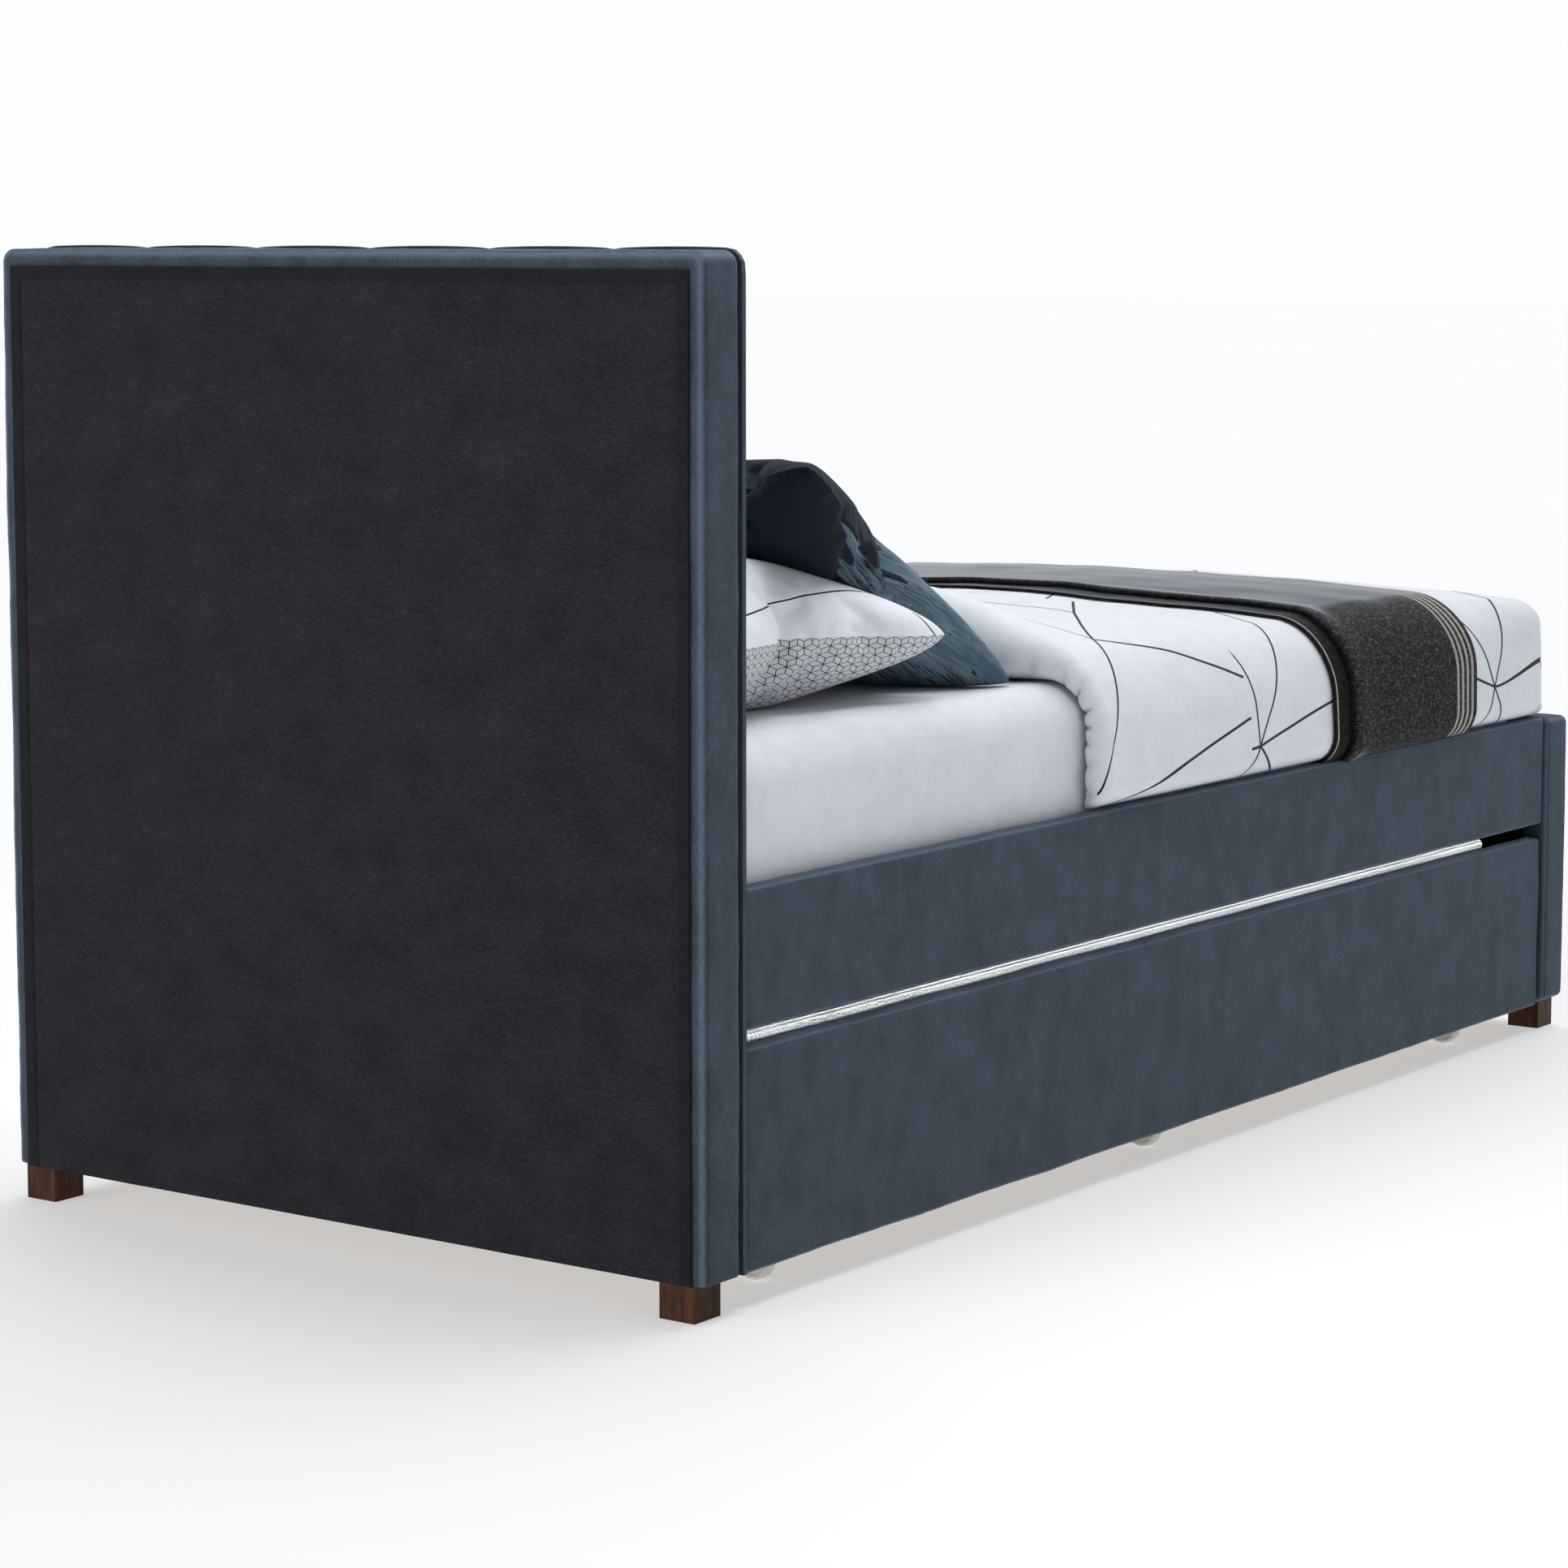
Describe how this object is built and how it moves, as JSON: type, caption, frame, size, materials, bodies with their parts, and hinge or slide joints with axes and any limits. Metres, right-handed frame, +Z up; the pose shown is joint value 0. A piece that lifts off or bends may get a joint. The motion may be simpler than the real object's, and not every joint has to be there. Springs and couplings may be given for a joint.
{
  "type": "trundle bed",
  "caption": "Upholstered single bed with a made-up mattress and a second low bed that rolls out on casters from under its near side.",
  "frame": {"origin": "on the floor, under the middle of the bed's box", "axes": "+X from the headboard to the footboard, -Y the side the trundle pulls out of, +Z up"},
  "size_m": [2.114, 1.049, 1.146],
  "materials": {
    "upholstery": "mottled blue-grey brushed suede cloth",
    "back_felt": "black non-woven dust cover",
    "board": "plain softwood and plywood boards",
    "slat_wood": "planed pine",
    "walnut": "dark walnut stain, satin",
    "steel": "black powder coat",
    "caster_steel": "zinc plated pressings",
    "caster_plastic": "moulded white nylon",
    "mattress_cloth": "white ticking",
    "sheet_cotton": "white cotton sheet",
    "duvet_cotton": "white cotton with thin black lines",
    "throw_weave": "charcoal melange weave with cream stripes",
    "white_pillowcase": "white cotton, patterned underside",
    "navy_pillowcase": "navy cotton with a pale brushed print",
    "trundle_knit": "white spacer knit"
  },
  "bodies": {
    "bed_frame": {"headboard_core": "board", "footboard_core": "board", "rail_near_core": "board", "rail_far_core": "board", "headboard_border": "upholstery", "headboard_front_pad": "upholstery", "footboard_cover": "upholstery", "rail_near_cover": "upholstery", "rail_far_cover": "upholstery", "headboard_back_cover": "back_felt", "footboard_inner_cover": "back_felt", "rail_near_bracket_head": "steel", "rail_near_bracket_foot": "steel", "rail_far_bracket_head": "steel", "rail_far_bracket_foot": "steel", "ledger_near": "slat_wood", "ledger_far": "slat_wood", "centre_beam": "slat_wood", "slat_01": "slat_wood", "slat_02": "slat_wood", "slat_03": "slat_wood", "slat_04": "slat_wood", "slat_05": "slat_wood", "slat_06": "slat_wood", "slat_07": "slat_wood", "slat_08": "slat_wood", "slat_09": "slat_wood", "slat_10": "slat_wood", "leg_head_near": "walnut", "leg_head_far": "walnut", "leg_foot_near": "walnut", "leg_foot_far": "walnut", "mattress": "mattress_cloth", "fitted_sheet": "sheet_cotton", "duvet": "duvet_cotton", "throw_blanket": "throw_weave", "pillow_white": "white_pillowcase", "pillow_navy": "navy_pillowcase"},
    "trundle": {"trundle_front_core": "board", "trundle_front_cover": "upholstery", "trundle_back_board": "board", "trundle_end_head": "board", "trundle_end_foot": "board", "trundle_centre_rail": "board", "trundle_caster_rail_front": "board", "trundle_caster_rail_back": "board", "trundle_slat_roll": "slat_wood", "trundle_mattress": "trundle_knit", "caster_bracket_front_1": "caster_steel", "caster_bracket_front_2": "caster_steel", "caster_bracket_front_3": "caster_steel", "caster_bracket_back_1": "caster_steel", "caster_bracket_back_2": "caster_steel", "caster_bracket_back_3": "caster_steel"},
    "wheel_front_1": {"caster_wheel_front_1": "caster_plastic"},
    "wheel_front_2": {"caster_wheel_front_2": "caster_plastic"},
    "wheel_front_3": {"caster_wheel_front_3": "caster_plastic"},
    "wheel_back_1": {"caster_wheel_back_1": "caster_plastic"},
    "wheel_back_2": {"caster_wheel_back_2": "caster_plastic"},
    "wheel_back_3": {"caster_wheel_back_3": "caster_plastic"}
  },
  "joints": [
    {"name": "trundle_slide", "type": "slide", "parent": "bed_frame", "child": "trundle", "axis": [0, -1, 0], "range_m": [0, 1]},
    {"name": "wheel_front_1_roll", "type": "hinge", "parent": "trundle", "child": "wheel_front_1", "pos_m": [-0.857, -0.4445, 0.024], "axis": [1, 0, 0], "continuous": true},
    {"name": "wheel_front_2_roll", "type": "hinge", "parent": "trundle", "child": "wheel_front_2", "pos_m": [-0.015, -0.4445, 0.024], "axis": [1, 0, 0], "continuous": true},
    {"name": "wheel_front_3_roll", "type": "hinge", "parent": "trundle", "child": "wheel_front_3", "pos_m": [0.827, -0.4445, 0.024], "axis": [1, 0, 0], "continuous": true},
    {"name": "wheel_back_1_roll", "type": "hinge", "parent": "trundle", "child": "wheel_back_1", "pos_m": [-0.857, 0.4445, 0.024], "axis": [1, 0, 0], "continuous": true},
    {"name": "wheel_back_2_roll", "type": "hinge", "parent": "trundle", "child": "wheel_back_2", "pos_m": [-0.015, 0.4445, 0.024], "axis": [1, 0, 0], "continuous": true},
    {"name": "wheel_back_3_roll", "type": "hinge", "parent": "trundle", "child": "wheel_back_3", "pos_m": [0.827, 0.4445, 0.024], "axis": [1, 0, 0], "continuous": true}
  ],
  "couplings": [
    {"joint": "wheel_front_1_roll", "follows": "trundle_slide", "rad_per_m": 41.667},
    {"joint": "wheel_front_2_roll", "follows": "trundle_slide", "rad_per_m": 41.667},
    {"joint": "wheel_front_3_roll", "follows": "trundle_slide", "rad_per_m": 41.667},
    {"joint": "wheel_back_1_roll", "follows": "trundle_slide", "rad_per_m": 41.667},
    {"joint": "wheel_back_2_roll", "follows": "trundle_slide", "rad_per_m": 41.667},
    {"joint": "wheel_back_3_roll", "follows": "trundle_slide", "rad_per_m": 41.667}
  ]
}
